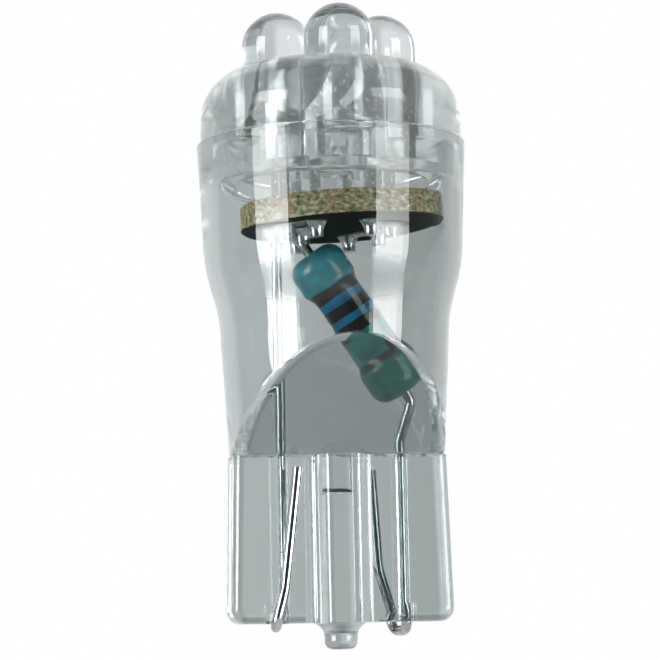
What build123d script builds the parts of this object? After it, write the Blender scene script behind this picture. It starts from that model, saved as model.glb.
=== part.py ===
from build123d import *
from math import atan2, cos, degrees, dist, radians, sin, tan
import os

os.makedirs("parts", exist_ok=True)

# Driving sizes in millimetres. The origin is the middle of the wedge's lower end, +Z runs up
# to the light-emitting end, +X lies across the wedge's broad faces and -Y is the front.

# Wedge that slides into the lamp holder, 2.1 thick and 9.5 wide
wedge_thickness = 2.1
wedge_width = 9.5
wedge_height = 7.0
wedge_corner_radius = 0.6
wedge_edge_radius = 0.4
rib_base_half_width = 1.1
rib_top_half_width = 0.66
rib_height = 0.5
rib_blend_radius = 0.3
nub_radius = 0.7
nub_length = 1.1
nub_root_radius = 0.55
nub_end_radius = 0.35
core_half_width = 0.46
core_half_thickness = 0.3
core_top_rise = 0.4
core_depth = 1.9

# Body above the wedge, a thin moulded shell
neck_foot_radius = 4.55
neck_draft = 0.28
rim_draft = 0.19
rim_edge_radius = 0.12
flare_length = 4.5
head_length = 4.1
body_wall = 0.65
facet_angle = 50.4
facet_land = 0.2
facet_blend_radius = 0.6
floor_rise = 0.25
floor_blend_radius = 0.2

# Cap that closes the body and holds the diodes
plug_clearance = 0.05
plug_depth = 1.25
skirt_depth = 1.85
skirt_wall = 0.7
cap_side_step = 0.17
cap_rise = 3.22
cap_shoulder_radius = 2.25

# Light-emitting diodes with round epoxy lenses. The head is as wide as the ring of them needs,
# with a thin web of cap between two bores and a wall outside each.
diode_count = 4
diode_start_angle = 180
diode_clearance = 0.03
diode_web = 0.136
diode_wall = 1.04
lens_radius = 1.5
lens_length = 5.7
lens_drop = 0.1
lead_inset = 0.35
lead_width = 0.4
lead_tail = 0.45
anvil_height = 2.1
cup_height = 0.6
cup_top_radius = 0.52
cup_foot_radius = 0.4
cup_mouth_radius = 0.42
cup_floor_radius = 0.26
cup_depth = 0.34
post_gap = 0.18
chip_side = 0.3
chip_height = 0.14
bond_wire_width = 0.05
bond_wire_rise = 0.3

# Round circuit board, cut a little off centre and soldered in with a slight tilt
board_side_gap = 0.08
board_thickness = 1.0
board_depth = 3.6
board_shift = 0.45
board_tilt = 2.5
board_hole_radius = 0.36
track_thickness = 0.07
track_share = 0.64
solder_height = 0.62
solder_tip_radius = 0.3
solder_flank_radius = 0.9

# Resistor in series with the diodes, hung at a slant under the board
resistor_floor_gap = 2.58
resistor_end_radius = 1.25
resistor_waist_radius = 1.03
resistor_end_length = 1.5
resistor_end_blend = 0.7
resistor_tilt = 34.5
resistor_top_x = -1.06
resistor_y = -0.2
resistor_gap = 1.1
resistor_lead_run = 0.5
resistor_tail_run = 0.45

# Tinned wires that run down through the wedge and fold up its faces as the contacts
wire_radius = 0.22
wire_gap = 0.03
wire_stub = 0.25
channel_radius = 0.26
channel_run_out = 0.6
channel_offset = 0.25
mouth_height = 0.8
notch_height = 0.42
notch_side_gap = 0.12
left_channel_x = -2.5
left_exit_x = -2.8
left_fold_x = -3.0
left_knee = (-2.58, 1.4)
left_tip_x = -1.95
left_loop_drop = 0.15
right_channel_x = 2.7
right_exit_x = 2.95
right_fold_x = 2.55
right_knee = (1.78, 2.3)
right_tip_x = 1.55
right_loop_drop = 0.33
left_hole_share = (-1.08, 0)
left_drop_rise = 2.4
channel_top_gap = 0.55
contact_drop = 0.55
loop_bend_radius = 0.42
contact_knee_radius = 3

# Places that follow from the sizes above
half_thickness = wedge_thickness / 2
diode_bore = lens_radius + diode_clearance
diode_ring_radius = (diode_bore + diode_web / 2) / sin(radians(180 / diode_count))
plug_radius = diode_ring_radius + diode_bore + diode_wall
head_bore = plug_radius + plug_clearance
head_radius = head_bore + body_wall
facet_slope = tan(radians(facet_angle))
neck_top_radius = neck_foot_radius + neck_draft
rim_radius = head_radius + rim_draft
cap_side_radius = rim_radius - cap_side_step
facet_reach = rim_radius + 1
neck_top = wedge_height + (neck_top_radius - half_thickness) * facet_slope + facet_land
head_start = neck_top + flare_length
rim_height = head_start + head_length
floor_height = wedge_height + floor_rise
cap_top = rim_height + cap_rise
lens_base = rim_height - lens_drop
lens_top = lens_base + lens_length
dome_centre = lens_top - lens_radius
lead_centre = lens_radius - lead_inset
lead_inner = lead_centre - lead_width / 2
lead_outer = lead_centre + lead_width / 2
anvil_top = lens_base + anvil_height
cup_top = anvil_top + cup_height
cup_floor = cup_top - cup_depth
post_inner = cup_top_radius + post_gap
post_top = cup_top - 0.05
board_underside = rim_height - board_depth
board_radius = head_bore - board_shift - board_side_gap
contact_y = half_thickness + wire_gap + wire_radius
contact_height = wedge_height - contact_drop
track_width = track_share * lens_radius
left_hole = (left_hole_share[0] * diode_ring_radius, left_hole_share[1] * diode_ring_radius)

tilt_sin = sin(radians(board_tilt))
tilt_cos = cos(radians(board_tilt))
board_plane = Plane(
    origin=(board_shift, 0, board_underside),
    x_dir=(tilt_cos, 0, tilt_sin),
    z_dir=(-tilt_sin, 0, tilt_cos),
)


def underside_height(x):
    """Height of the tilted board's underside at a place across the bulb."""
    return board_underside + (x - board_shift) * tilt_sin / tilt_cos


def on_board(point):
    """Place on the board's own plane for a point seen straight from above."""
    return ((point[0] - board_shift) / tilt_cos, point[1])


def finish(piece, name):
    """Label a finished piece and write it under the same name."""
    piece.part.label = name
    export_step(piece.part, f"parts/{name}.step")


# Body: the neck and head are turned, two facets lead down to the flat wedge, and the
# inside follows the outside at one wall's distance down to a narrow floor.
def draw_half_section(inset, bottom, rim, top):
    """Half section of the shell from the axis outwards, drawn in by a wall for the cavity."""
    foot = (neck_foot_radius - inset, bottom)
    shoulder = (neck_top_radius - inset, neck_top)
    head = (head_radius - inset, head_start)
    middle = ((shoulder[0] + head[0]) / 2, (shoulder[1] + head[1]) / 2)
    Polyline((0, top), (0, bottom), foot, shoulder)
    lower_arc = TangentArc(shoulder, middle, tangent=(0, 1))
    TangentArc(middle, head, tangent=lower_arc % 1)
    Polyline(head, (rim, top), (0, top))


def draw_facet_corner(inset):
    """Triangle outside one facet, seen along X."""
    start = half_thickness - inset / sin(radians(facet_angle))
    outer = start + facet_reach
    rise = facet_reach * facet_slope
    Polyline((start, wedge_height), (outer, wedge_height + rise), (outer, wedge_height), close=True)


def cut_facets(inset):
    """Cut both facets from the part being built."""
    with BuildSketch(Plane.YZ) as corners:
        with BuildLine():
            draw_facet_corner(inset)
        make_face()
        mirror(about=Plane.YZ)
    extrude(corners.sketch, amount=facet_reach, both=True, mode=Mode.SUBTRACT)


with BuildPart() as cavity:
    with BuildSketch(Plane.XZ):
        with BuildLine():
            draw_half_section(body_wall, floor_height, head_bore, rim_height)
        make_face()
    revolve(axis=Axis.Z)
    cut_facets(body_wall)
    fillet(cavity.faces().sort_by(Axis.Z)[0].edges(), floor_blend_radius)

with BuildPart() as wedge:
    with BuildSketch(Plane.XZ):
        with BuildLine():
            FilletPolyline(
                (neck_foot_radius, wedge_height),
                (wedge_width / 2, 0),
                (-wedge_width / 2, 0),
                (-neck_foot_radius, wedge_height),
                radius=wedge_corner_radius,
            )
            Line((-neck_foot_radius, wedge_height), (neck_foot_radius, wedge_height))
        make_face()
    extrude(amount=half_thickness, both=True)
    face_edges = wedge.faces().filter_by(Axis.Y).edges()
    top_edges = wedge.faces().sort_by(Axis.Z)[-1].edges()
    fillet(face_edges - top_edges, wedge_edge_radius)

with BuildPart() as ribs:
    rib_foot = rib_base_half_width + 2 * rib_blend_radius
    rib_crest = half_thickness + rib_height
    with BuildSketch():
        with BuildLine():
            FilletPolyline(
                (rib_foot, half_thickness),
                (rib_base_half_width, half_thickness),
                (rib_top_half_width, rib_crest),
                (-rib_top_half_width, rib_crest),
                (-rib_base_half_width, half_thickness),
                (-rib_foot, half_thickness),
                radius=rib_blend_radius,
            )
            Polyline((-rib_foot, half_thickness), (-rib_foot, 0), (rib_foot, 0), (rib_foot, half_thickness))
        make_face()
        mirror(about=Plane.XZ)
    extrude(amount=wedge_height)

with BuildPart() as nub:
    with BuildSketch(Plane.XZ):
        with BuildLine():
            root = (nub_radius + nub_root_radius, 0)
            waist = (nub_radius, -nub_root_radius)
            side_end = (nub_radius, nub_end_radius - nub_length)
            tip = (nub_radius - nub_end_radius, -nub_length)
            Polyline((0, -nub_length), (0, nub_root_radius), (root[0], nub_root_radius), root)
            RadiusArc(root, waist, -nub_root_radius)
            Line(waist, side_end)
            RadiusArc(side_end, tip, nub_end_radius)
            Line(tip, (0, -nub_length))
        make_face()
    revolve(axis=Axis.Z)

with BuildPart() as body:
    with BuildSketch(Plane.XZ):
        with BuildLine():
            draw_half_section(0, wedge_height, rim_radius, rim_height)
        make_face()
    revolve(axis=Axis.Z)
    fillet(body.edges().filter_by(GeomType.CIRCLE).sort_by(Axis.Z)[-1], rim_edge_radius)
    cut_facets(0)
    fillet(body.edges().filter_by(GeomType.ELLIPSE), facet_blend_radius)
    add(wedge.part)
    add(ribs.part)
    add(nub.part)
    add(cavity.part, mode=Mode.SUBTRACT)
    with BuildSketch(Plane.YZ):
        with Locations((0, floor_height + core_top_rise - (core_top_rise + core_depth) / 2)):
            SlotOverall(core_top_rise + core_depth, 2 * core_half_thickness, rotation=90)
    extrude(amount=core_half_width, both=True, mode=Mode.SUBTRACT)
    for side, channel_x, exit_x, fold_x in (
        (-1, left_channel_x, left_exit_x, left_fold_x),
        (1, right_channel_x, right_exit_x, right_fold_x),
    ):
        with BuildSketch():
            with Locations((channel_x, side * channel_offset)):
                Circle(channel_radius)
        extrude(amount=floor_height + channel_run_out, mode=Mode.SUBTRACT)
        with BuildSketch():
            with Locations(((channel_x + exit_x) / 2, side * channel_offset)):
                SlotCenterToCenter(abs(exit_x - channel_x), 2 * channel_radius)
        extrude(amount=mouth_height, mode=Mode.SUBTRACT)
        with BuildSketch():
            with Locations(((exit_x + fold_x) / 2, side * (channel_offset + half_thickness) / 2)):
                notch_width = abs(exit_x - fold_x) + 2 * (wire_radius + notch_side_gap)
                Rectangle(notch_width, half_thickness - channel_offset)
        extrude(amount=notch_height, mode=Mode.SUBTRACT)

finish(body, "body")

# Cap: a thick clear plug with a rounded shoulder, bored through for the diodes.
with BuildPart() as lens_cap:
    skirt_bore = plug_radius - skirt_wall
    plate_underside = rim_height - plug_depth
    shoulder_foot = (cap_side_radius, cap_top - cap_shoulder_radius)
    shoulder_head = (cap_side_radius - cap_shoulder_radius, cap_top)
    with BuildSketch(Plane.XZ):
        with BuildLine():
            Polyline(
                shoulder_head,
                (0, cap_top),
                (0, plate_underside),
                (skirt_bore, plate_underside),
                (skirt_bore, rim_height - skirt_depth),
                (plug_radius, rim_height - skirt_depth),
                (plug_radius, rim_height),
                (cap_side_radius, rim_height),
                shoulder_foot,
            )
            RadiusArc(shoulder_foot, shoulder_head, -cap_shoulder_radius)
        make_face()
    revolve(axis=Axis.Z)
    with BuildSketch(Plane.XY.offset(cap_top)):
        with PolarLocations(diode_ring_radius, diode_count, diode_start_angle):
            Circle(diode_bore)
    extrude(amount=-(cap_rise + skirt_depth), mode=Mode.SUBTRACT)

finish(lens_cap, "lens_cap")


# Diodes: each has a stamped anvil with a cup for the chip, a stamped post, a bond wire
# from the chip to the post, and a clear lens cast over them.
def diode_plane(index):
    """Upright plane of a diode's pair of leads: x runs along the pair and y is up."""
    turn = radians(diode_start_angle + index * 360 / diode_count)
    return Plane(
        origin=(diode_ring_radius * cos(turn), diode_ring_radius * sin(turn), 0),
        x_dir=(-sin(turn), cos(turn), 0),
        z_dir=(cos(turn), sin(turn), 0),
    )


def lead_place(index, side):
    """Place of a lead seen from above: side is -1 for the cathode and 1 for the anode."""
    point = diode_plane(index).from_local_coords((side * lead_centre, 0, 0))
    return (point.X, point.Y)


diode_leads = []
for index in range(diode_count):
    number = index + 1
    upright = diode_plane(index)
    centre_line = Axis(upright.origin, (0, 0, 1))
    cathode_end = underside_height(lead_place(index, -1)[0]) - lead_tail
    anode_end = underside_height(lead_place(index, 1)[0]) - lead_tail

    with BuildPart() as cathode:
        with BuildSketch(upright):
            with BuildLine():
                Polyline(
                    (-lead_outer, cathode_end),
                    (-lead_outer, lens_base + 0.9),
                    (-cup_foot_radius, anvil_top),
                    (cup_foot_radius, anvil_top),
                    (cup_foot_radius, anvil_top - 0.25),
                    (-0.15, anvil_top - 0.8),
                    (-0.15, lens_base + 1.1),
                    (-lead_inner, lens_base + 0.6),
                    (-lead_inner, cathode_end),
                    close=True,
                )
            make_face()
        extrude(amount=lead_width / 2, both=True)
        with BuildSketch(upright):
            with BuildLine():
                Polyline(
                    (0, anvil_top),
                    (cup_foot_radius, anvil_top),
                    (cup_top_radius, cup_top),
                    (cup_mouth_radius, cup_top),
                    (cup_floor_radius, cup_floor),
                    (0, cup_floor),
                    close=True,
                )
            make_face()
        revolve(axis=centre_line)
    finish(cathode, f"led_{number}_cathode")

    with BuildPart() as anode:
        with BuildSketch(upright):
            with BuildLine():
                Polyline(
                    (lead_outer, anode_end),
                    (lead_outer, lens_base + 1.3),
                    (post_inner + lead_width, post_top),
                    (post_inner, post_top),
                    (post_inner, anvil_top - 0.45),
                    (0.15, anvil_top - 0.95),
                    (0.15, lens_base + 0.9),
                    (lead_inner, lens_base + 0.6),
                    (lead_inner, anode_end),
                    close=True,
                )
            make_face()
        extrude(amount=lead_width / 2, both=True)
    finish(anode, f"led_{number}_anode")

    with BuildPart() as chip:
        with BuildSketch(Plane(upright.origin + Vector(0, 0, cup_floor), x_dir=upright.x_dir)):
            Rectangle(chip_side, chip_side)
        extrude(amount=chip_height)
    finish(chip, f"led_{number}_chip")

    with BuildPart() as bond_wire:
        wire_end = post_inner + lead_width / 2
        wire_crown = post_top + bond_wire_rise
        with BuildLine(upright) as wire_path:
            Polyline(
                (0, cup_floor + chip_height),
                (0, post_top),
                (wire_end / 3, wire_crown),
                (wire_end * 2 / 3, wire_crown),
                (wire_end, post_top + bond_wire_rise / 2),
                (wire_end, post_top),
            )
        with BuildSketch(wire_path.line ^ 0):
            Rectangle(bond_wire_width, bond_wire_width)
        sweep(transition=Transition.RIGHT)
    finish(bond_wire, f"led_{number}_bond_wire")

    with BuildPart() as lens:
        with BuildSketch(upright):
            with BuildLine():
                Polyline((0, lens_top), (0, lens_base), (lens_radius, lens_base), (lens_radius, dome_centre))
                RadiusArc((lens_radius, dome_centre), (0, lens_top), -lens_radius)
            make_face()
        revolve(axis=centre_line)
        for inner in (cathode, anode, chip, bond_wire):
            add(inner.part, mode=Mode.SUBTRACT)
    finish(lens, f"led_{number}_lens")
    diode_leads += [cathode, anode]

# Resistor: a lacquered dog-bone body whose upper lead goes up into the board.
lean_sin = sin(radians(resistor_tilt))
lean_cos = cos(radians(resistor_tilt))
resistor_top_z = underside_height(resistor_top_x) - resistor_gap
resistor_top = Vector(resistor_top_x, resistor_y, resistor_top_z)
resistor_up = Vector(-lean_sin, 0, lean_cos)
resistor_length = (resistor_top_z - floor_height - resistor_floor_gap) / lean_cos
resistor_bottom = resistor_top - resistor_up * resistor_length
resistor_plane = Plane(resistor_bottom, x_dir=(lean_cos, 0, lean_sin), z_dir=(0, -1, 0))
resistor_bend = resistor_top + resistor_up * resistor_lead_run
resistor_hole = (resistor_bend.X, resistor_bend.Y)

with BuildPart() as resistor_body:
    taper = 2 * (resistor_end_radius - resistor_waist_radius)
    with BuildSketch(resistor_plane):
        with BuildLine():
            FilletPolyline(
                (0, 0),
                (resistor_end_radius, 0),
                (resistor_end_radius, resistor_end_length),
                (resistor_waist_radius, resistor_end_length + taper),
                (resistor_waist_radius, resistor_length - resistor_end_length - taper),
                (resistor_end_radius, resistor_length - resistor_end_length),
                (resistor_end_radius, resistor_length),
                (0, resistor_length),
                radius=[resistor_end_blend, 0.4, 0.4, 0.4, 0.4, resistor_end_blend],
            )
            Line((0, resistor_length), (0, 0))
        make_face()
    revolve(axis=Axis(resistor_bottom, resistor_up))

finish(resistor_body, "resistor_body")


def board_top_height(x):
    """Height of the tilted board's upper face at a place across the bulb."""
    return underside_height(x) + board_thickness / tilt_cos


def make_wire(name, route, bends):
    """Round wire along straight runs joined by bends."""
    with BuildPart() as wire:
        with BuildLine() as wire_route:
            FilletPolyline(*route, radius=bends)
        with BuildSketch(wire_route.line ^ 0):
            Circle(wire_radius)
        sweep()
    finish(wire, name)
    return wire


def contact_route(side, channel_x, exit_x, fold_x, knee, tip_x, loop_drop):
    """Route of a contact from its channel's top, out of the mouth and up a broad face."""
    return [
        (channel_x, side * channel_offset, floor_height + channel_top_gap),
        (channel_x, side * channel_offset, mouth_height + 0.1),
        (exit_x, side * channel_offset, -loop_drop),
        (fold_x, side * contact_y, -loop_drop),
        (knee[0], side * contact_y, knee[1]),
        (tip_x, side * contact_y, contact_height),
    ]


contact_bends = [0.5, 1.0, loop_bend_radius, loop_bend_radius, contact_knee_radius]

resistor_lead = make_wire(
    "resistor_lead",
    [resistor_top, resistor_bend, (*resistor_hole, board_top_height(resistor_hole[0]) + wire_stub)],
    0.3,
)
right_contact_wire = make_wire(
    "right_contact_wire",
    [resistor_bottom, resistor_bottom - resistor_up * resistor_tail_run]
    + contact_route(1, right_channel_x, right_exit_x, right_fold_x, right_knee, right_tip_x, right_loop_drop),
    [0.5] + contact_bends,
)
left_contact_wire = make_wire(
    "left_contact_wire",
    [
        (*left_hole, board_top_height(left_hole[0]) + wire_stub),
        (*left_hole, floor_height + left_drop_rise),
    ]
    + contact_route(-1, left_channel_x, left_exit_x, left_fold_x, left_knee, left_tip_x, left_loop_drop),
    [1.0] + contact_bends,
)

# Circuit board: a round blank with a hole for each lead, and copper on its underside that
# joins the diodes in a row from the left contact wire to the resistor.
lead_places = [lead_place(index, side) for index in range(diode_count) for side in (-1, 1)]
lead_spots = [on_board(place) for place in lead_places]
wire_spots = [on_board(resistor_hole), on_board(left_hole)]
track_ends = [left_hole] + lead_places + [resistor_hole]

with BuildPart() as circuit_board:
    with BuildSketch(board_plane):
        Circle(board_radius)
        with Locations(*lead_spots, *wire_spots):
            Circle(board_hole_radius, mode=Mode.SUBTRACT)
    extrude(amount=board_thickness)

finish(circuit_board, "circuit_board")

with BuildPart() as copper_tracks:
    with BuildSketch(board_plane):
        for start, end in zip(track_ends[0::2], track_ends[1::2]):
            (start_x, start_y), (end_x, end_y) = on_board(start), on_board(end)
            turn = degrees(atan2(end_y - start_y, end_x - start_x))
            with Locations(((start_x + end_x) / 2, (start_y + end_y) / 2)):
                SlotCenterToCenter(dist((start_x, start_y), (end_x, end_y)), track_width, rotation=turn)
        with Locations(*lead_spots, *wire_spots):
            Circle(board_hole_radius, mode=Mode.SUBTRACT)
    extrude(amount=-track_thickness)

finish(copper_tracks, "copper_tracks")

# Solder: a cone with hollow flanks round each lead and wire, standing on its copper.
with BuildPart(mode=Mode.PRIVATE) as solder_cone:
    with BuildSketch(Plane.XZ):
        with BuildLine():
            base = (track_width / 2 - 0.03, 0)
            tip = (solder_tip_radius, -solder_height)
            Polyline(tip, (0, -solder_height), (0, 0), base)
            RadiusArc(base, tip, -solder_flank_radius)
        make_face()
    revolve(axis=Axis.Z)


def make_joints(name, spots, held):
    """Solder cones on the copper, cut away where the leads pass through them."""
    with BuildPart() as joints:
        with Locations(board_plane.offset(-track_thickness)):
            with Locations(*spots):
                add(solder_cone.part)
        for lead in held:
            add(lead.part, mode=Mode.SUBTRACT)
    finish(joints, name)


make_joints("led_solder_joints", lead_spots, diode_leads)
make_joints("wire_solder_joints", wire_spots, [resistor_lead, left_contact_wire])
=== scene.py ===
import math

import bpy
import numpy as np
from mathutils import Matrix, Vector


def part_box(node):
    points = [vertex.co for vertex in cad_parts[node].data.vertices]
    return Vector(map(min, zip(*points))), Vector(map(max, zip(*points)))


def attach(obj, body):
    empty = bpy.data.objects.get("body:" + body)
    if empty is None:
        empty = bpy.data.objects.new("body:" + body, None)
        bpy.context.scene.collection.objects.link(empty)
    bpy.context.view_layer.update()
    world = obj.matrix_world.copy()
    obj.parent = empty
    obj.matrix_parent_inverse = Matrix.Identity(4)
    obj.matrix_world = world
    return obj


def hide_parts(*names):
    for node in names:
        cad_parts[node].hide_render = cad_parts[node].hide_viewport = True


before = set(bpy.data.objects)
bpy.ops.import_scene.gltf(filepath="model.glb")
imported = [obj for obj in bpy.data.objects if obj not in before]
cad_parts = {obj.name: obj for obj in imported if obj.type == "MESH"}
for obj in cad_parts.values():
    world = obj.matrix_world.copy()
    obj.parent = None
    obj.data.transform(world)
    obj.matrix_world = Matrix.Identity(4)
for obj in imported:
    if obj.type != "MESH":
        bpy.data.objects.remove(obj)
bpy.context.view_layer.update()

# Body. One hollow shell with its flat wedge, moulded in clear polycarbonate in a single shot.
# The plastic's tone, which is partly painted shade, is laid in its outer skin, so that light
# caught inside the walls stays bright.
MM = 0.001
CLEAR_INDEX = 1.49
CLOUD_MM = 3.846
FRONT_SLANT = (0, -0.771, -0.637)
SLANT_FROM, SLANT_FULL = 0.9, 0.98
CAVITY_BLEND = 0.05


def linear(text):
    """Linear colour of an sRGB hex text: each part goes through the usual sRGB curve."""
    parts = [int(text[i:i + 2], 16) / 255 for i in (0, 2, 4)]
    return [p / 12.92 if p <= 0.04045 else ((p + 0.055) / 1.055) ** 2.4 for p in parts] + [1.0]


def put(tree, kind, settings=None, inputs=None):
    """Add one node; an input is a value or another node's output."""
    made = tree.nodes.new(kind)
    for key, value in (settings or {}).items():
        setattr(made, key, value)
    for key, value in (inputs or {}).items():
        if isinstance(value, bpy.types.NodeSocket):
            tree.links.new(value, made.inputs[key])
        else:
            made.inputs[key].default_value = value
    return made


def new_material(name):
    """Empty node material with its output node."""
    material = bpy.data.materials.new(name)
    material.use_nodes = True
    material.node_tree.nodes.clear()
    return material, material.node_tree, put(material.node_tree, "ShaderNodeOutputMaterial")


def outward_normal(tree):
    """Normal that points out of the piece on both sides of a face."""
    surface = put(tree, "ShaderNodeNewGeometry")
    side = put(tree, "ShaderNodeMapRange", None, {
        "Value": surface.outputs["Backfacing"], "To Min": 1.0, "To Max": -1.0})
    return put(tree, "ShaderNodeVectorMath", {"operation": "SCALE"}, {
        0: surface.outputs["Normal"], "Scale": side.outputs[0]}).outputs[0]


def clear_material(name, skin, inside, index, haze, wave_mm, wave_depth_mm, find_inside):
    """Clear plastic: two close tones clouded through the outer skin, which partly stand as painted
    shade for the grey room seen through it, a deeper tone on the front slant as painted shade,
    a pale one where find_inside gives one, and shallow waves in the surface."""
    material, tree, output = new_material(name)
    place = put(tree, "ShaderNodeTexCoord").outputs["Object"]
    waves = put(tree, "ShaderNodeTexNoise", None, {
        "Vector": place, "Scale": 1 / (wave_mm * MM), "Detail": 1.0})
    bump = put(tree, "ShaderNodeBump", None, {
        "Height": waves.outputs["Fac"], "Distance": wave_depth_mm * MM, "Strength": 1.0})
    cloud = put(tree, "ShaderNodeTexNoise", None, {
        "Vector": place, "Scale": 1 / (CLOUD_MM * MM), "Detail": 3.0})
    tone = put(tree, "ShaderNodeMix", {"data_type": "RGBA"}, {
        0: cloud.outputs["Fac"], 6: linear(skin[0]), 7: linear(skin[1])})
    facing = outward_normal(tree)
    # Painted shade: faces on the front slant take the deeper third tone.
    slope = put(tree, "ShaderNodeVectorMath", {"operation": "DOT_PRODUCT"}, {0: facing, 1: FRONT_SLANT})
    slant = put(tree, "ShaderNodeMapRange", None, {
        "Value": slope.outputs["Value"], "From Min": SLANT_FROM, "From Max": SLANT_FULL})
    outer = put(tree, "ShaderNodeMix", {"data_type": "RGBA"}, {
        0: slant.outputs[0], 6: tone.outputs[2], 7: linear(skin[2])})
    colour = put(tree, "ShaderNodeMix", {"data_type": "RGBA"}, {
        0: find_inside(tree, place, facing), 6: outer.outputs[2], 7: linear(inside)})
    shader = put(tree, "ShaderNodeBsdfPrincipled", None, {
        "Base Color": colour.outputs[2], "Roughness": haze, "IOR": index,
        "Transmission Weight": 1.0, "Normal": bump.outputs["Normal"]})
    tree.links.new(shader.outputs[0], output.inputs["Surface"])
    return material


def looks_inwards(tree, place, facing):
    """One on faces that look at the axis or up, as the cavity's do, and nought on the others."""
    flat = put(tree, "ShaderNodeVectorMath", {"operation": "MULTIPLY"}, {0: place, 1: (1, 1, 0)})
    outwards = put(tree, "ShaderNodeVectorMath", {"operation": "NORMALIZE"}, {0: flat.outputs[0]})
    inwards = put(tree, "ShaderNodeVectorMath", {"operation": "SUBTRACT"}, {
        0: (0, 0, 1), 1: outwards.outputs[0]})
    lean = put(tree, "ShaderNodeVectorMath", {"operation": "DOT_PRODUCT"}, {
        0: facing, 1: inwards.outputs[0]})
    return put(tree, "ShaderNodeMapRange", None, {
        "Value": lean.outputs["Value"], "From Min": -CAVITY_BLEND, "From Max": CAVITY_BLEND}).outputs[0]


def dress(names, material):
    """Give CAD nodes that keep their mesh a material."""
    for name in names:
        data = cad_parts[name].data
        data.materials.clear()
        data.materials.append(material)


# Clear polycarbonate, as smooth as its polished mould: it shines like glass, and its grey-green
# tone deepens with each wall that the eye looks through. The tone is deeper than the plastic's
# own faint cast, as painted shade for the grey room seen through it, and the deeper tone on the
# front slant is painted shade too. The slow waves are those of a mould polished by hand. The
# index lies a little under the plastic's own 1.58, and the tones were matched to the photograph
# with it.
clear_body = clear_material(
    "clear moulded polycarbonate", ("abb3b3", "b3baba", "707979"), "f8fafa",
    index=CLEAR_INDEX, haze=0.0, wave_mm=3.0, wave_depth_mm=0.004, find_inside=looks_inwards)
dress(["body"], clear_body)

# The lower end of the narrow slot below the cavity is darkened with painted shade, which shows
# as a short dark line in the middle of the wedge.
SLOT_END = (0, 0, 5.37)
SLOT_END_REACH = (0.7, 0.6, 0.3)
tree = clear_body.node_tree
shader = tree.nodes["Principled BSDF"]
place = put(tree, "ShaderNodeTexCoord").outputs["Object"]
from_end = put(tree, "ShaderNodeVectorMath", {"operation": "SUBTRACT"}, {
    0: place, 1: [v * MM for v in SLOT_END]})
reach = put(tree, "ShaderNodeVectorMath", {"operation": "DIVIDE"}, {
    0: from_end.outputs[0], 1: [v * MM for v in SLOT_END_REACH]})
away = put(tree, "ShaderNodeVectorMath", {"operation": "LENGTH"}, {0: reach.outputs[0]})
near = put(tree, "ShaderNodeMapRange", None, {
    "Value": away.outputs["Value"], "From Min": 1.0, "From Max": 0.8})
slot_end_shade = put(tree, "ShaderNodeMix", {"data_type": "RGBA"}, {
    0: near.outputs[0], 6: shader.inputs["Base Color"].links[0].from_socket, 7: linear("465050")})
tree.links.new(slot_end_shade.outputs[2], shader.inputs["Base Color"])

# Circuit board. A round blank of paper and resin laminate, punched out, so its edge shows
# brown and green fibres, with a dark green coat below whose tone is drawn darker still as
# painted shade. It hangs in the body's bore on the leads that are soldered through it.
TONES_START, TONES_END = 0.3, 0.7
LOOKS_DOWN = -0.5


def surface_material(name, colours, grain_mm, grain_depth_mm, rough, metal=0.0, closeness=(1, 1, 1)):
    """Opaque stuff: tones spread evenly along a fine noise grain, which also dents the surface
    and takes its roughness from the first value to the second. Closeness packs the grain
    along x, y and z: closer above one, and drawn out below one."""
    material, tree, output = new_material(name)
    place = put(tree, "ShaderNodeTexCoord").outputs["Object"]
    packed = put(tree, "ShaderNodeVectorMath", {"operation": "MULTIPLY"}, {0: place, 1: closeness})
    grain = put(tree, "ShaderNodeTexNoise", None, {
        "Vector": packed.outputs[0], "Scale": 1 / (grain_mm * MM), "Detail": 5.0})
    bump = put(tree, "ShaderNodeBump", None, {
        "Height": grain.outputs["Fac"], "Distance": grain_depth_mm * MM, "Strength": 1.0})
    tone = put(tree, "ShaderNodeValToRGB", None, {"Fac": grain.outputs["Fac"]})
    stops = tone.color_ramp.elements
    stops[0].position, stops[1].position = TONES_START, TONES_END
    stops[0].color, stops[1].color = linear(colours[0]), linear(colours[-1])
    for number, colour in enumerate(colours[1:-1], 1):
        share = number / (len(colours) - 1)
        stops.new(TONES_START + (TONES_END - TONES_START) * share).color = linear(colour)
    sheen = put(tree, "ShaderNodeMapRange", None, {
        "Value": grain.outputs["Fac"], "To Min": rough[0], "To Max": rough[1]})
    shader = put(tree, "ShaderNodeBsdfPrincipled", None, {
        "Base Color": tone.outputs["Color"], "Metallic": metal, "Roughness": sheen.outputs[0],
        "Normal": bump.outputs["Normal"]})
    tree.links.new(shader.outputs[0], output.inputs["Surface"])
    return material, tree, shader


# Paper and resin laminate: a dull, speckled edge, tan with green and dark fibres that lie
# mostly flat. Real ones are a few hundredths of a millimetre thick, and these are drawn
# coarser so that they show. The board keeps no mirror shine, so its underside stays dark.
laminate, tree, shader = surface_material(
    "paper and resin laminate", ("2a362a", "82946f", "c49a68", "c4d2b2", "f4eee0"),
    grain_mm=0.22, grain_depth_mm=0.02, rough=(0.35, 0.6), closeness=(1, 1, 1.6))
# Faces that look down take a near-black green: the board's coat, deepened with painted shade.
upright = put(tree, "ShaderNodeSeparateXYZ", None, {0: outward_normal(tree)})
below = put(tree, "ShaderNodeMath", {"operation": "LESS_THAN"}, {0: upright.outputs["Z"], 1: LOOKS_DOWN})
coat_and_shade = put(tree, "ShaderNodeMix", {"data_type": "RGBA"}, {
    0: below.outputs[0], 6: shader.inputs["Base Color"].links[0].from_socket, 7: linear("0c2a1e")})
tree.links.new(coat_and_shade.outputs[2], shader.inputs["Base Color"])
shader.inputs["Specular IOR Level"].default_value = 0.0
dress(["circuit_board"], laminate)

# Tracks and solder. Etched copper foil under the board, dipped in tin, joins the leads in a
# row, and a cone of soft solder is run round each lead from below.

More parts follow.
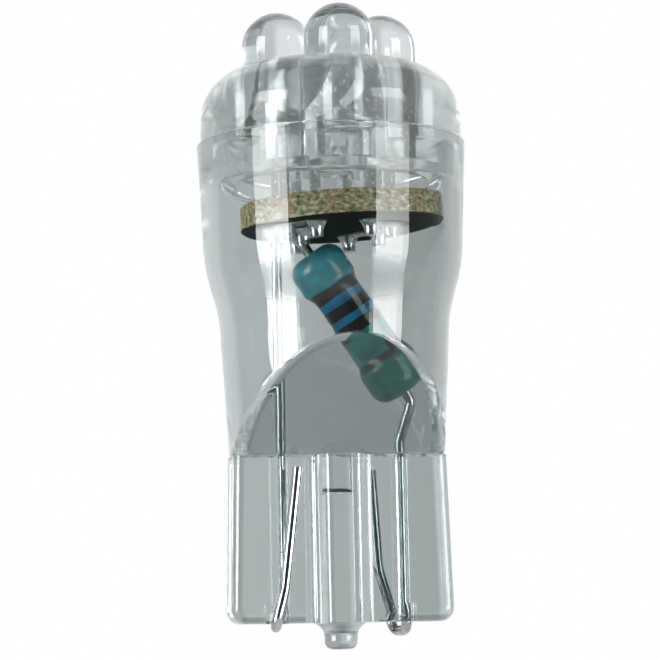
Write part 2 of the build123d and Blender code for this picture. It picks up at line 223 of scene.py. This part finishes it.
# Tinned copper foil: a dull, warm grey shine, rippled by the dip.
foil = surface_material(
    "tinned copper foil", ("7d7f6a", "a9a489"),
    grain_mm=0.3, grain_depth_mm=0.006, rough=(0.25, 0.4), metal=1.0)[0]
dress(["copper_tracks"], foil)
# Soft solder, set bright: small sharp lights on a smooth cone with a slight ripple.
solder = surface_material(
    "soft solder", ("7b8284", "d5dadb"),
    grain_mm=0.35, grain_depth_mm=0.03, rough=(0.06, 0.2), metal=1.0)[0]
dress(["led_solder_joints", "wire_solder_joints"], solder)

# Resistor. A ceramic rod with pressed-on end caps, dipped in blue-green lacquer, with its
# bands painted round the waist, hung aslant under the board by its upper lead.
ROD_TOP = (-1.06, -0.2, 15.606)
ROD_LEAN = math.radians(34.5)
ROD_REACH = 8.0
BAND_EDGE_MM, BAND_WAVER_MM = 0.7143, 0.12
PAINT = (
    (0.0, "009cac"), (1.66, "020303"), (2.2, "007cb0"), (2.6, "020303"), (3.12, "007cb0"),
    (3.42, "020303"), (3.94, "009894"), (5.1, "24442c"), (5.4, "149c8e"),
)

# Blue-green lacquer and band paint: a deep glossy coat, a little wavy from the dip. Each band
# starts at its distance in millimetres along the rod, and its edge wavers by a tenth of a
# millimetre, as a painted one does.
lacquer, tree, shader = surface_material(
    "blue-green lacquer", ("c4c4c4", "ffffff"),
    grain_mm=0.5, grain_depth_mm=0.01, rough=(0.05, 0.12))
place = put(tree, "ShaderNodeTexCoord").outputs["Object"]
from_top = put(tree, "ShaderNodeVectorMath", {"operation": "SUBTRACT"}, {
    0: place, 1: [v * MM for v in ROD_TOP]})
along = put(tree, "ShaderNodeVectorMath", {"operation": "DOT_PRODUCT"}, {
    0: from_top.outputs[0], 1: (math.sin(ROD_LEAN) / MM, 0, -math.cos(ROD_LEAN) / MM)})
ragged = put(tree, "ShaderNodeTexNoise", None, {
    "Vector": place, "Scale": 1 / (BAND_EDGE_MM * MM), "Detail": 2.0})
wavering = put(tree, "ShaderNodeMath", {"operation": "MULTIPLY_ADD"}, {
    0: ragged.outputs["Fac"], 1: BAND_WAVER_MM, 2: along.outputs["Value"]})
share = put(tree, "ShaderNodeMath", {"operation": "DIVIDE"}, {0: wavering.outputs[0], 1: ROD_REACH})
bands = put(tree, "ShaderNodeValToRGB", None, {"Fac": share.outputs[0]})
bands.color_ramp.interpolation = "CONSTANT"
stops = bands.color_ramp.elements
# A new ramp has two stops, and takes more.
for number, (start, colour) in enumerate(PAINT):
    stop = stops[number] if number < 2 else stops.new(start / ROD_REACH)
    stop.position = start / ROD_REACH
    stop.color = linear(colour)
tinted = put(tree, "ShaderNodeMix", {"data_type": "RGBA", "blend_type": "MULTIPLY"}, {
    0: 1.0, 6: bands.outputs["Color"], 7: shader.inputs["Base Color"].links[0].from_socket})
tree.links.new(tinted.outputs[2], shader.inputs["Base Color"])
dress(["resistor_body"], lacquer)

# Wires. Soft copper wire dipped in tin: the resistor's upper lead and the two contact
# wires, which run down the wedge's channels and are bent up over its faces.

# Tinned copper wire: a bright shine with lines along the wire, dark between its lights. The
# lines that the die leaves are a few thousandths of a millimetre apart, and are drawn coarser
# so that they show.
tinned = surface_material(
    "tinned copper wire", ("8b9194", "ccd1d3"),
    grain_mm=0.2, grain_depth_mm=0.004, rough=(0.1, 0.2), metal=1.0, closeness=(1, 1, 0.2))[0]
dress(["resistor_lead", "right_contact_wire", "left_contact_wire"], tinned)

# Diodes. Each has a stamped cathode with the chip glued in its cup, a stamped anode beside
# it, and a gold wire welded from the chip to the anode.

# Silver-plated steel: pale and satin. A matt plating scatters much of its light, so it is set
# between metal and white. Its grain is coarser than the real one, so that it shows.
plated = surface_material(
    "silver-plated steel", ("dfe2e3", "fafafa"),
    grain_mm=0.15, grain_depth_mm=0.004, rough=(0.15, 0.35), metal=0.55)[0]
# Crystal of the chip: a small, dark, waxy square, with a grain coarse enough to show.
crystal = surface_material(
    "chip crystal", ("4a4a40", "8a8568"), grain_mm=0.08, grain_depth_mm=0.002, rough=(0.25, 0.35))[0]
# Gold wire: a thin warm glint, with a grain coarse enough to show.
gold = surface_material(
    "gold wire", ("d9a441", "f0c46a"),
    grain_mm=0.05, grain_depth_mm=0.001, rough=(0.2, 0.3), metal=1.0)[0]
for number in (1, 2, 3, 4):
    dress([f"led_{number}_cathode", f"led_{number}_anode"], plated)
    dress([f"led_{number}_chip"], crystal)
    dress([f"led_{number}_bond_wire"], gold)

# Diode lenses. A cylinder under a half-ball dome, cast over the leads in water-clear epoxy.
# They are solid here, so that the lead frames sit in the epoxy as they do in the real part.
LENS_COLUMNS, DOME_ROWS, EDGE_ROWS = 72, 28, 5
LENS_EDGE = 0.12
DOME_FOOT, DOME_FOOT_BLEND = 23.7, 0.4
SHARP_EDGE = math.radians(35)
SAME_PLACE_DIGITS = 4


def weld(grids):
    """Points and faces of grids whose rows are closed rings. A face joins two neighbours in a
    row to the same two in the next row. Points that round to one place become one, and a face
    whose corners meet by that becomes a triangle, or goes."""
    points, corners, count = [], [], 0
    for grid in grids:
        rows, columns = grid.shape[:2]
        row = count + np.arange(rows * columns).reshape(rows, columns)
        after = np.roll(row, -1, axis=1)
        corners.append(np.stack([row[:-1], row[1:], after[1:], after[:-1]], axis=-1).reshape(-1, 4))
        points.append(grid.reshape(-1, 3))
        count += rows * columns
    points = np.concatenate(points)
    _, first, same = np.unique(
        np.round(points, SAME_PLACE_DIGITS) + 0.0, axis=0, return_index=True, return_inverse=True)
    faces = same.reshape(-1)[np.concatenate(corners)]
    kept = faces != np.roll(faces, 1, axis=1)
    sides = kept.sum(axis=1)
    triangles = faces[sides == 3][kept[sides == 3]].reshape(-1, 3)
    return points[first], faces[sides == 4].tolist() + triangles.tolist()


def turn_profile(profile, around, centre):
    """Grid of a profile of radii and heights, from the top down, turned about an upright axis:
    each of its points lies its radius from the axis, at each of the angles around."""
    radius, height = profile.T[:, :, None]
    return np.stack([
        centre[0] + radius * np.cos(around), centre[1] + radius * np.sin(around),
        np.broadcast_to(height, (len(profile), len(around)))], axis=-1)


def add_piece(name, grids, material, replaced):
    """Piece from grids in millimetres, smooth apart from its sharp edges."""
    points, faces = weld(grids)
    mesh = bpy.data.meshes.new(name)
    mesh.from_pydata((points * MM).tolist(), [], faces)
    mesh.validate()
    mesh.update()
    mesh.polygons.foreach_set("use_smooth", [True] * len(mesh.polygons))
    mesh.set_sharp_from_angle(angle=SHARP_EDGE)
    mesh.materials.append(material)
    piece = bpy.data.objects.new(name, mesh)
    bpy.context.scene.collection.objects.link(piece)
    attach(piece, "root")
    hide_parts(*replaced)


def lens_profile(radius, foot, top):
    """Radii and heights of a lens from the top down: a quarter circle as wide as the lens, its
    straight side, a small quarter circle at the lower edge, and its flat foot."""
    turn = np.linspace(np.pi / 2, 0, DOME_ROWS)[1:]
    dome = np.c_[radius * np.cos(turn), top - radius + radius * np.sin(turn)]
    turn = np.linspace(0, -np.pi / 2, EDGE_ROWS)
    edge = np.c_[
        radius - LENS_EDGE + LENS_EDGE * np.cos(turn), foot + LENS_EDGE + LENS_EDGE * np.sin(turn)]
    return np.concatenate([[(0, top)], dome, edge, [(0, foot)]])


def lies_below_dome(tree, place, facing):
    """One on the part of a lens that stands in the cap, and nought on its dome."""
    height = put(tree, "ShaderNodeSeparateXYZ", None, {0: place})
    return put(tree, "ShaderNodeMapRange", None, {
        "Value": height.outputs["Z"], "From Min": DOME_FOOT * MM,
        "From Max": (DOME_FOOT - DOME_FOOT_BLEND) * MM}).outputs[0]


# Water-clear cast epoxy: clearer and a little brighter than the moulded plastic, with the
# faintest softness and short waves from the casting cup.
epoxy = clear_material(
    "clear cast epoxy", ("d6dcdd", "dde2e3", "d6dcdd"), "fcfdfd",
    index=1.54, haze=0.01, wave_mm=1.1, wave_depth_mm=0.002, find_inside=lies_below_dome)
bores = []
around = np.arange(LENS_COLUMNS) * 2 * np.pi / LENS_COLUMNS
for number in (1, 2, 3, 4):
    low, high = (np.array(v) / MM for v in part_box(f"led_{number}_lens"))
    bores.append((low[:2] + high[:2]) / 2)
    profile = lens_profile((high[0] - low[0]) / 2, low[2], high[2])
    add_piece(
        f"led_{number}_epoxy", [turn_profile(profile, around, bores[-1])], epoxy,
        [f"led_{number}_lens"])

# Cap. A thick plug with a rounded shoulder and a bore for each diode, moulded in the same
# clear plastic. Clear cement fills its joints with the lenses and the body, so its faces
# reach a hair into theirs here, and light crosses as it does through cement.
BORE, MOUTH = 1.488, 0.045
PLUG, SKIRT_BORE, SKIRT_EDGE = 4.892, 4.13, 0.06
SHOULDER, BORDER = 2.25, 4.7
CEMENT, PLATE_DEPTH = 0.015, 1.25
PLATE_ROWS, MOUTH_ROWS, TOP_ROWS, SHOULDER_ROWS = 9, 5, 13, 16
INNER_COLUMNS, OUTER_COLUMNS = 30, 16
CAP_INSIDE, CAP_INSIDE_BLEND = 5.1, 0.15
PARALLEL, ON_BORDER = 1e-9, 1e-6
cap_low, cap_high = (np.array(v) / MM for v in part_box("lens_cap"))
side, cap_top, skirt_end = cap_high[0], cap_high[2], cap_low[2]
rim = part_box("body")[1][2] / MM
flange, plate = rim - CEMENT, rim - PLATE_DEPTH
ring = float(np.hypot(*bores[0]))


def shoulder_height(across):
    """Height of the cap's top at a distance from the axis: flat, then a quarter circle down."""
    past = np.clip(across - (side - SHOULDER), 0, SHOULDER)
    return cap_top - SHOULDER + np.sqrt(SHOULDER ** 2 - past ** 2)


def leave_quarter(ways):
    """Where rays from a bore's centre leave its quarter of the cap: at the border circle, or
    sooner at one of the two lines at 45 degrees to the bore's own radius."""
    along, across = ways.T
    to_circle = -ring * along + np.sqrt((ring * along) ** 2 + BORDER ** 2 - ring ** 2)
    nearing = np.stack([across - along, -across - along])
    to_lines = (ring / np.maximum(nearing, PARALLEL)).min(axis=0)
    return np.array([ring, 0]) + np.minimum(to_circle, to_lines)[:, None] * ways


def cap_quarter():
    """Grid round one bore: rows run from the border in along the plate's underside, up the
    bore, over its rounded mouth and out along the top to the border again."""
    diagonal = BORDER * math.sqrt(0.5)
    corner = math.atan2(diagonal, diagonal - ring)
    marks = [0, corner, np.pi, 2 * np.pi - corner, 2 * np.pi]
    counts = (OUTER_COLUMNS, INNER_COLUMNS, INNER_COLUMNS, OUTER_COLUMNS)
    angles = np.concatenate([
        np.linspace(a, b, n, endpoint=False) for a, b, n in zip(marks, marks[1:], counts)])
    ways = np.c_[np.cos(angles), np.sin(angles)]
    centre = np.array([ring, 0])
    border = leave_quarter(ways)
    share = np.linspace(1, 0, PLATE_ROWS)[:, None, None]
    under = (centre + BORE * ways) * (1 - share) + border * (SKIRT_BORE / BORDER) * share
    turn = np.linspace(0, np.pi / 2, MOUTH_ROWS)[:, None, None]
    lip = centre + (BORE + MOUTH * (1 - np.cos(turn))) * ways
    lip_height = shoulder_height(np.hypot(*lip[-1].T)) - MOUTH * (1 - np.sin(turn[..., 0]))
    share = np.linspace(0, 1, TOP_ROWS)[1:, None, None]
    top = lip[-1] * (1 - share) + border * share
    heights = np.concatenate([
        np.full(under.shape[:2], plate), lip_height, shoulder_height(np.linalg.norm(top, axis=2))])
    return np.concatenate([np.concatenate([under, lip, top]), heights[..., None]], axis=2)


def cap_profile():
    """Radii and heights of the cap's outside: from the border in a quarter circle over the
    shoulder, round the flange, down the plug, round the skirt's end and up its bore."""
    start = math.asin((BORDER - side + SHOULDER) / SHOULDER)
    turn = np.linspace(start, np.pi / 2, SHOULDER_ROWS)
    shoulder = np.c_[
        side - SHOULDER + SHOULDER * np.sin(turn), cap_top - SHOULDER + SHOULDER * np.cos(turn)]
    skirt = [
        (side, flange), (PLUG, flange), (PLUG, skirt_end + SKIRT_EDGE), (PLUG - SKIRT_EDGE, skirt_end),
        (SKIRT_BORE + SKIRT_EDGE, skirt_end), (SKIRT_BORE, skirt_end + SKIRT_EDGE), (SKIRT_BORE, plate)]
    return np.concatenate([shoulder, skirt])


def lies_within_cap(tree, place, facing):
    """One on the bores and the other faces near the axis, and nought on the cap's outside."""
    flat = put(tree, "ShaderNodeVectorMath", {"operation": "MULTIPLY"}, {0: place, 1: (1, 1, 0)})
    away = put(tree, "ShaderNodeVectorMath", {"operation": "LENGTH"}, {0: flat.outputs[0]})
    return put(tree, "ShaderNodeMapRange", None, {
        "Value": away.outputs["Value"], "From Min": CAP_INSIDE * MM,
        "From Max": (CAP_INSIDE - CAP_INSIDE_BLEND) * MM}).outputs[0]


# Clear polycarbonate, as the body, but thick and moulded over four cores: a little softer to
# look through, and with shorter waves.
cap_plastic = clear_material(
    "clear moulded cap polycarbonate", ("b8bfbf", "c2c8c8", "b8bfbf"), "fcfdfd",
    index=CLEAR_INDEX, haze=0.09, wave_mm=1.6, wave_depth_mm=0.006, find_inside=lies_within_cap)
# Four like quarters lie a quarter turn apart, and the outside meets their points on the border.
quarter = cap_quarter()
quarters = [
    quarter @ np.array([[c, s, 0], [-s, c, 0], [0, 0, 1]])
    for c, s in ((1, 0), (0, 1), (-1, 0), (0, -1))]
ends = np.concatenate([grid[-1, :, :2] for grid in quarters])
on_border = ends[np.abs(np.hypot(*ends.T) - BORDER) < ON_BORDER]
around = np.sort(np.arctan2(on_border[:, 1], on_border[:, 0]))
outside = turn_profile(cap_profile(), around, (0, 0))
add_piece("cap", quarters + [outside], cap_plastic, ["lens_cap"])

# Studio floor. A sheet of pale matt paper well under the bulb. It fades into the white round
# it, and is clear from below, so that it doesn't hide the bulb there.
FLOOR_HALF, FLOOR_HEIGHT = 0.4, -0.034
FADE_START, FADE_END = 0.06, 0.3
PAPER_GRAIN_MM = 2.5
PAPER_LIFT = 0.38
floor_mesh = bpy.data.meshes.new("studio_floor")
floor_mesh.from_pydata([
    (-FLOOR_HALF, -FLOOR_HALF, FLOOR_HEIGHT), (FLOOR_HALF, -FLOOR_HALF, FLOOR_HEIGHT),
    (FLOOR_HALF, FLOOR_HALF, FLOOR_HEIGHT), (-FLOOR_HALF, FLOOR_HALF, FLOOR_HEIGHT),
], [], [(0, 1, 2, 3)])
floor = bpy.data.objects.new("studio_floor", floor_mesh)
bpy.context.scene.collection.objects.link(floor)
# Matt paper with a faint cloudy grain. It keeps the bulb's shadow, and is lifted towards
# white for the eye and for what glass and metal show of it, without lighting the bulb.
material, tree, output = new_material("pale studio floor")
place = put(tree, "ShaderNodeTexCoord").outputs["Object"]
grain = put(tree, "ShaderNodeTexNoise", None, {
    "Vector": place, "Scale": 1 / (PAPER_GRAIN_MM * MM), "Detail": 3.0})
tone = put(tree, "ShaderNodeMix", {"data_type": "RGBA"}, {
    0: grain.outputs["Fac"], 6: linear("f4f4f4"), 7: linear("fbfbfb")})
matt = put(tree, "ShaderNodeBsdfDiffuse", None, {"Color": tone.outputs[2]})
path = put(tree, "ShaderNodeLightPath")
straight = put(tree, "ShaderNodeMath", {"operation": "MAXIMUM"}, {
    0: path.outputs["Is Camera Ray"], 1: path.outputs["Is Glossy Ray"]})
shown = put(tree, "ShaderNodeMath", {"operation": "MAXIMUM"}, {
    0: straight.outputs[0], 1: path.outputs["Is Transmission Ray"]})
seen = put(tree, "ShaderNodeMapRange", None, {
    "Value": shown.outputs[0], "To Min": 0.0, "To Max": PAPER_LIFT})
lift = put(tree, "ShaderNodeEmission", None, {"Color": tone.outputs[2], "Strength": seen.outputs[0]})
paper = put(tree, "ShaderNodeAddShader", None, {0: matt.outputs[0], 1: lift.outputs[0]})
away = put(tree, "ShaderNodeVectorMath", {"operation": "LENGTH"}, {0: place})
fade = put(tree, "ShaderNodeMapRange", {"interpolation_type": "SMOOTHSTEP"}, {
    "Value": away.outputs["Value"], "From Min": FADE_START, "From Max": FADE_END})
under = put(tree, "ShaderNodeNewGeometry")
gone = put(tree, "ShaderNodeMath", {"operation": "MAXIMUM"}, {
    0: fade.outputs[0], 1: under.outputs["Backfacing"]})
clear = put(tree, "ShaderNodeBsdfTransparent")
mixed = put(tree, "ShaderNodeMixShader", None, {
    0: gone.outputs[0], 1: paper.outputs[0], 2: clear.outputs[0]})
tree.links.new(mixed.outputs[0], output.inputs["Surface"])
floor_mesh.materials.append(material)

# Lamps. Two tall soft boxes stand left and right in front of the bulb, cloth over a frame.
# They light it softly, and stand as two upright stripes in its shiny walls.
CAMERA_AZIMUTH = math.radians(-11.382)
LAMP_TURN = math.radians(54)
LAMP_DISTANCE, LAMP_HEIGHT = 0.3, 0.036
LAMP_HALF_WIDTH, LAMP_HALF_HEIGHT = 0.085, 0.16
LAMP_LEVEL, STRIPE_LEVEL, STRIPE_LEAN = 2.0, 15, 2.5
CLOTH_FOOT, CLOTH_TOP = 0.03, 0.1
CLOTH_TONES = (
    (0.09, 0.8), (0.2, 0.42), (0.5, 0.4), (0.54, 0.18), (0.64, 0.16), (0.69, 0.05), (0.81, 0.05),
    (0.9, 0.5),
)
for lamp_side in (-1, 1):
    turn = CAMERA_AZIMUTH + lamp_side * LAMP_TURN
    spot = Vector((LAMP_DISTANCE * math.sin(turn), -LAMP_DISTANCE * math.cos(turn), LAMP_HEIGHT))
    across = Vector((math.cos(turn), math.sin(turn), 0)) * LAMP_HALF_WIDTH
    up = Vector((0, 0, LAMP_HALF_HEIGHT))
    corners = [spot - across - up, spot + across - up, spot + across + up, spot - across + up]
    panel_mesh = bpy.data.meshes.new(f"soft_lamp_{lamp_side}")
    panel_mesh.from_pydata([tuple(c) for c in corners], [], [(0, 1, 2, 3)])
    panel = bpy.data.objects.new(f"soft_lamp_{lamp_side}", panel_mesh)
    bpy.context.scene.collection.objects.link(panel)
    # Lit cloth, whose brightness changes with its height, so that the stripes grow fainter
    # from the wedge up to the cap, and bright again on the lenses, as in the photograph.
    material, tree, output = new_material("soft lamp")
    path = put(tree, "ShaderNodeLightPath")
    level = put(tree, "ShaderNodeMapRange", None, {
        "Value": path.outputs["Is Glossy Ray"],
        "To Min": LAMP_LEVEL, "To Max": STRIPE_LEVEL - STRIPE_LEAN * lamp_side})
    place = put(tree, "ShaderNodeTexCoord").outputs["Object"]
    height = put(tree, "ShaderNodeSeparateXYZ", None, {0: place})
    share = put(tree, "ShaderNodeMapRange", None, {
        "Value": height.outputs["Z"], "From Min": CLOTH_FOOT, "From Max": CLOTH_TOP})
    cloth = put(tree, "ShaderNodeValToRGB", None, {"Fac": share.outputs[0]})
    stops = cloth.color_ramp.elements
    for number, (start, grey) in enumerate(CLOTH_TONES):
        stop = stops[number] if number < 2 else stops.new(start)
        stop.position = start
        stop.color = (grey, grey, grey, 1)
    glow = put(tree, "ShaderNodeEmission", None, {
        "Color": cloth.outputs["Color"], "Strength": level.outputs[0]})
    tree.links.new(glow.outputs[0], output.inputs["Surface"])
    panel_mesh.materials.append(material)

# World. The camera sees plain white round the bulb. The light is even, with a little less from
# overhead. What glass and metal show is shaded by direction: bright behind the bulb, dim where
# the camera stands, and darker on the right than on the left, as in the photograph.
WORLD_LEVEL = 0.5
world = bpy.data.worlds.new("studio")
bpy.context.scene.world = world
world.use_nodes = True
tree = world.node_tree
tree.nodes.clear()
direction = put(tree, "ShaderNodeTexCoord").outputs["Generated"]
height = put(tree, "ShaderNodeSeparateXYZ", None, {0: direction}).outputs["Z"]
back_way = (-math.sin(CAMERA_AZIMUTH), math.cos(CAMERA_AZIMUTH), 0)
right_way = (math.cos(CAMERA_AZIMUTH), math.sin(CAMERA_AZIMUTH), 0)
behind, aside = (
    put(tree, "ShaderNodeVectorMath", {"operation": "DOT_PRODUCT"}, {0: direction, 1: way}).outputs["Value"]
    for way in (back_way, right_way))
# Each level goes smoothly from one value to another while a part of the direction grows.
overhead, mirrored, through, ahead, sweep = (
    put(tree, "ShaderNodeMapRange", {"interpolation_type": "SMOOTHSTEP"}, {
        "Value": part, "From Min": start, "From Max": end, "To Min": before, "To Max": after}).outputs[0]
    for part, start, end, before, after in (
        (height, 0.35, 0.95, 1.0, 0.9), (behind, 0.3, 0.66, 0.06, 1.0), (behind, -0.2, 0.7, 0.8, 1.0),
        (behind, -0.97, -0.6, 0.4, 1.0), (aside, -0.08, 0.08, 1.08, 0.78)))
dimmed = put(tree, "ShaderNodeMath", {"operation": "MULTIPLY"}, {0: through, 1: ahead})
swept = put(tree, "ShaderNodeMath", {"operation": "MULTIPLY"}, {0: dimmed.outputs[0], 1: sweep})
path = put(tree, "ShaderNodeLightPath")
by_mirror = put(tree, "ShaderNodeMapRange", None, {
    "Value": path.outputs["Is Glossy Ray"], "To Min": WORLD_LEVEL, "To Max": mirrored})
by_glass = put(tree, "ShaderNodeMapRange", None, {
    "Value": path.outputs["Is Transmission Ray"], "To Min": by_mirror.outputs[0],
    "To Max": swept.outputs[0]})
shaded = put(tree, "ShaderNodeMath", {"operation": "MULTIPLY"}, {0: by_glass.outputs[0], 1: overhead})
final = put(tree, "ShaderNodeMapRange", None, {
    "Value": path.outputs["Is Camera Ray"], "To Min": shaded.outputs[0], "To Max": 1.0})
sky = put(tree, "ShaderNodeBackground", None, {"Color": (1, 1, 1, 1), "Strength": final.outputs[0]})
put(tree, "ShaderNodeOutputWorld", None, {"Surface": sky.outputs[0]})

# Camera. It stands at the photograph's place, a little below the bulb's foot and looking up.
# Its place, angles and focal length in pixels were fitted to the outline in the picture.
PICTURE_WIDTH, FOCAL_PIXELS, SENSOR_WIDTH = 660, 3078.068, 36
CAMERA_DISTANCE, CAMERA_RISE = 129.516, -2.969
pitch, yaw, roll = (math.radians(v) for v in (6.755, 0.087, -1.206))
camera_data = bpy.data.cameras.new("camera")
camera = bpy.data.objects.new("camera", camera_data)
bpy.context.scene.collection.objects.link(camera)
camera_data.sensor_width = SENSOR_WIDTH
camera_data.lens = FOCAL_PIXELS / PICTURE_WIDTH * SENSOR_WIDTH
camera_data.clip_start = 0.01
camera_data.clip_end = 10
turn = CAMERA_AZIMUTH + yaw
forward = Vector((-math.sin(turn) * math.cos(pitch), math.cos(turn) * math.cos(pitch), math.sin(pitch)))
right = Vector((math.cos(turn), math.sin(turn), 0))
up = right.cross(forward)
right_rolled = math.cos(roll) * right + math.sin(roll) * up
up_rolled = -math.sin(roll) * right + math.cos(roll) * up
out = Vector((math.sin(CAMERA_AZIMUTH), -math.cos(CAMERA_AZIMUTH), 0))
place = (CAMERA_DISTANCE * out + Vector((0, 0, CAMERA_RISE))) * MM
turned = Matrix((right_rolled, up_rolled, -forward)).transposed().to_4x4()
camera.matrix_world = Matrix.Translation(place) @ turned
bpy.context.scene.camera = camera

# Light crosses many clear walls here, so its path may be long before it is cut off.
CLEAR_WALL_BOUNCES = 96
scene = bpy.context.scene
scene.view_settings.view_transform = "Standard"
scene.cycles.max_bounces = CLEAR_WALL_BOUNCES
scene.cycles.transmission_bounces = CLEAR_WALL_BOUNCES
scene.cycles.glossy_bounces = CLEAR_WALL_BOUNCES
